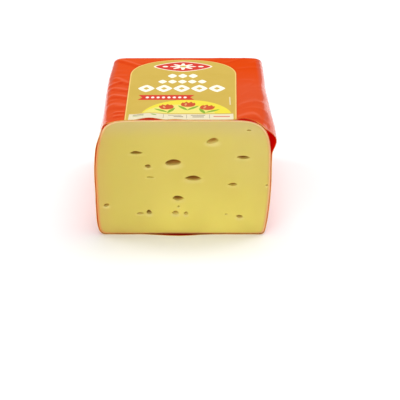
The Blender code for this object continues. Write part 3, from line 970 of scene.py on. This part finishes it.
def make_film(outside, inside, rim):
    """The film: a wrinkled outer sheet, an inner sheet and the cut edge between them."""
    stations = stations_to_end(SHEET_STEP, 0.0)
    outer, offs, falls = film_rows(stations)
    wander = np.array([noise.noise(Vector((p[0] * 90, 3.3, p[2] * 90))) for p in outer[0]])
    lip = LIP_DEPTH * hump(outer[0][:, 0] - LIP_CENTRE, LIP_HALF_WIDTH) * (outer[0][:, 2] < 0.001)
    for index, station in enumerate(EDGE_STEPS):
        outer[index][:, 1] += (EDGE_WANDER * wander - lip) * (1 - station / EDGE_REACH)
    inner = [lining(row, station) for row, station in zip(outer, stations)]
    back = closing_rows(outer[-1], SHEET_END_RINGS, end_creases)
    build = Build()
    flat = [np.zeros(len(row)) for row in back]
    out = build.rows(outer + back, 0, stand_off=offs + flat, fall=falls + flat)
    build.add(out[-1][::-1])
    inner += [row - np.array((0, FILM, 0)) for row in back]
    into = build.rows(inner, 1, flipped=True, stand_off=offs + flat)
    build.add(into[-1], 1)
    build.band(out[0], into[0], 2, flipped=True)
    return build.finish("film_sheet", [outside, inside, rim], sharp=60)


def make_slab(name, high_rows, low_rows, material):
    """A thin piece between an upper and a lower sheet of rows, closed round its edge."""
    build = Build()
    high = build.rows(high_rows, closed=False)
    low = build.rows(low_rows, closed=False, flipped=True)
    build.band(low[0], high[0], closed=False)
    build.band(high[-1], low[-1], closed=False)
    for column, flipped in ((0, False), (-1, True)):
        near, far = [loop[column] for loop in high], [loop[column] for loop in low]
        build.band(near, far, closed=False, flipped=flipped)
    return build.finish(name, [material], sharp=50)


def make_label(material):
    """The label: a thin sheet that follows the film's top, straight-sided and arched at the back."""
    ways = section_ways(SHEET_POINTS)
    top = ways[1] > 0.999
    columns = np.linspace(-1, 1, LABEL_COLUMNS)
    rise = LABEL_ARCH_TOP - LABEL_ARCH_START
    straight = np.linspace(FRONT, LABEL_ARCH_START, LABEL_ROWS)
    arch = LABEL_ARCH_START + rise * np.sin(np.linspace(0, math.pi / 2, ARCH_ROWS))[1:-1]
    high_rows, low_rows = [], []
    for y in np.concatenate((straight, arch)):
        share = max(y - LABEL_ARCH_START, 0.0) / rise
        left, right = (label_edge(min(y, LABEL_ARCH_START), side) for side in (-1, 1))
        half = (right - left) / 2 * (1 - share ** LABEL_ARCH_POWER) ** (1 / LABEL_ARCH_POWER)
        middle = (left + right) / 2
        x = middle + half * columns
        points = ring(ways, y - FRONT, 0.0)[0]
        under = np.interp(x, points[top, 0], (points[:, 2] + fold(*points.T))[top])
        for gap, rows in ((LABEL_GAP, low_rows), (LABEL_GAP + LABEL, high_rows)):
            rows.append(np.stack((x, np.full_like(x, y), under + gap), 1))
    return make_slab("label_sheet", high_rows, low_rows, material)


def seal_slab(material):
    """The flat welded strip on the closed end, with a slight wave at its loose edge."""
    rows = []
    half = SEAL_WIDTH / 2
    x = np.linspace(-half, half, SEAL_COLUMNS)
    for z in np.linspace(SEAL_TOP - SEAL_HEIGHT, SEAL_TOP, SEAL_ROWS):
        free = blend(1.0, 0.0, (z - SEAL_TOP + SEAL_HEIGHT) / SEAL_HEIGHT)
        wave = 0.0002 * free * np.sin(x * 95) * np.sin(x * 31 + 1)
        rows.append(np.stack((x, BACK + SEAL_LIFT + np.maximum(wave, -SEAL_LIFT), np.full_like(x, z)), 1))
    outer = [row + np.array((0, SEAL_THICK, 0)) for row in rows]
    seal = make_slab("end_seal", outer, rows, material)
    recalculate(seal)
    return seal


def ribs_tree(material):
    """Geometry Nodes: a row of upright crimp ribs of given number, pitch, width, height and depth."""
    tree = bpy.data.node_groups.new("crimp_ribs", "GeometryNodeTree")
    face = tree.interface
    face.new_socket("Geometry", in_out="OUTPUT", socket_type="NodeSocketGeometry")
    for name, kind in (
        ("Count", "NodeSocketInt"),
        ("Pitch", "NodeSocketFloat"),
        ("Rib Size", "NodeSocketVector"),
        ("Centre", "NodeSocketVector"),
    ):
        face.new_socket(name, in_out="INPUT", socket_type=kind)

    def add(kind, *details):
        return add_node(tree, kind, *details)

    given = add("NodeGroupInput").outputs
    index = add("GeometryNodeInputIndex")
    middle = add("ShaderNodeMath", {"operation": "MULTIPLY_ADD"}, {0: given["Count"], 1: 0.5, 2: -0.5})
    steps = add("ShaderNodeMath", {"operation": "SUBTRACT"}, {0: index.outputs[0], 1: middle.outputs[0]})
    across = add("ShaderNodeMath", {"operation": "MULTIPLY"}, {0: steps.outputs[0], 1: given["Pitch"]})
    place = add("ShaderNodeCombineXYZ", {}, {"X": across.outputs[0]})
    moved = add("ShaderNodeVectorMath", {"operation": "ADD"}, {0: place.outputs[0], 1: given["Centre"]})
    dots = add("GeometryNodePoints", {}, {"Count": given["Count"], "Position": moved.outputs[0]})
    rib = add("GeometryNodeMeshUVSphere", {}, {"Segments": 10, "Rings": 7, "Radius": 0.5})
    copies = add("GeometryNodeInstanceOnPoints", {}, {"Points": dots.outputs[0], "Instance": rib.outputs[0]})
    tree.links.new(given["Rib Size"], copies.inputs["Scale"])
    real = add("GeometryNodeRealizeInstances", {}, {"Geometry": copies.outputs[0]})
    smooth = add("GeometryNodeSetShadeSmooth", {}, {"Geometry": real.outputs[0]})
    coated = add("GeometryNodeSetMaterial", {}, {"Geometry": smooth.outputs[0], "Material": material})
    add("NodeGroupOutput", {}, {0: coated.outputs[0]})
    return tree


def make_ribs(material):
    """The seal's crimped ribs, spread evenly over the strip."""
    tree = ribs_tree(material)
    ribs = new_object("seal_ribs", bpy.data.meshes.new("seal_ribs"))
    modifier = ribs.modifiers.new("ribs", "NODES")
    modifier.node_group = tree
    values = {
        "Count": int(SEAL_WIDTH * SEAL_RIBBED_WIDTH / SEAL_RIB_PITCH),
        "Pitch": SEAL_RIB_PITCH,
        "Rib Size": (SEAL_RIB_WIDTH, 2 * SEAL_RIB_PROUD, SEAL_HEIGHT * SEAL_RIBBED_HEIGHT),
        "Centre": (0.0, BACK + SEAL_LIFT + SEAL_THICK, SEAL_TOP - SEAL_HEIGHT / 2),
    }
    for item in tree.interface.items_tree:
        if item.in_out == "INPUT":
            modifier[item.identifier] = values[item.name]
    settle(ribs)
    return ribs


def make_camera():
    """The camera: turned, pitched down and rolled a little, with a long lens."""
    camera = new_object("camera", bpy.data.cameras.new("camera"))
    camera.data.lens, camera.data.sensor_width = CAMERA_LENS, CAMERA_SENSOR
    camera.data.clip_start = 0.01
    camera.matrix_world = Matrix.Translation(CAMERA_PLACE)
    for degrees, axis in ((-CAMERA_YAW, "Z"), (90 - CAMERA_PITCH, "X"), (CAMERA_ROLL, "Z")):
        camera.matrix_world @= Matrix.Rotation(math.radians(degrees), 4, axis)
    bpy.context.scene.camera = camera


def add_sun(name, coming_from, power, spread):
    """A broad soft light from far away, in the direction of the point it comes from."""
    light = bpy.data.lights.new(name, "SUN")
    light.energy, light.angle = power, math.radians(spread)
    obj = new_object(name, light)
    obj.rotation_euler = Vector(coming_from).to_track_quat("Z", "Y").to_euler()


def add_panel(name, place, target, size, power):
    """A flat soft light beside the block, which shows in its gloss."""
    light = bpy.data.lights.new(name, "AREA")
    light.shape, light.size, light.size_y, light.energy = "RECTANGLE", *size, power
    obj = new_object(name, light)
    obj.location = place
    obj.rotation_euler = (Vector(place) - Vector(target)).to_track_quat("Z", "Y").to_euler()


def make_studio():
    """White floor, even surroundings and soft lights above, in front, at the sides and low behind."""
    mesh = bmesh.new()
    bmesh.ops.create_circle(mesh, cap_ends=True, segments=96, radius=12.0)
    floor = mesh_object(mesh, "floor", [plain_finish("floor", WHITE, 0.7)])
    world = bpy.data.worlds.new("studio")
    bpy.context.scene.world = world
    world.use_nodes = True
    back = world.node_tree.nodes["Background"]
    back.inputs["Color"].default_value = WHITE
    back.inputs["Strength"].default_value = 0.30
    add_sun("top_light", (0.15, 0.25, 1.0), 1.65, 50)
    add_sun("front_light", (-0.35, -1.0, 0.65), 1.1, 50)
    for side in (-1, 1):
        add_panel("side_light", (side * 1.1, 0.5, 0.75), (0, 0, 0.06), (0.5, 1.1), 4.5)
    add_panel("back_light", (0.66, 1.40, 0.175), (0.06, 0.0, 0.10), (0.50, 0.27), 0.30)
    bpy.context.scene.view_settings.view_transform = "Standard"


def main():
    """Makes the scene, ties each piece to the body and hides the node it replaces."""
    make_camera()
    make_studio()
    cheese = make_cheese(paste_finish())
    film = make_film(film_finish(), film_inside_finish(), film_edge_finish())
    label = make_label(label_finish())
    weld = weld_finish()
    seal = seal_slab(weld)
    ribs = make_ribs(weld)
    for piece, node, slot in (
        (cheese, "cheese", "cheese"),
        (film, "film_wrap", "red_film"),
        (label, "label", "gold_label"),
        (seal, None, "red_film"),
        (ribs, None, "red_film"),
    ):
        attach(piece, "root")
        if node:
            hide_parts(node)


main()
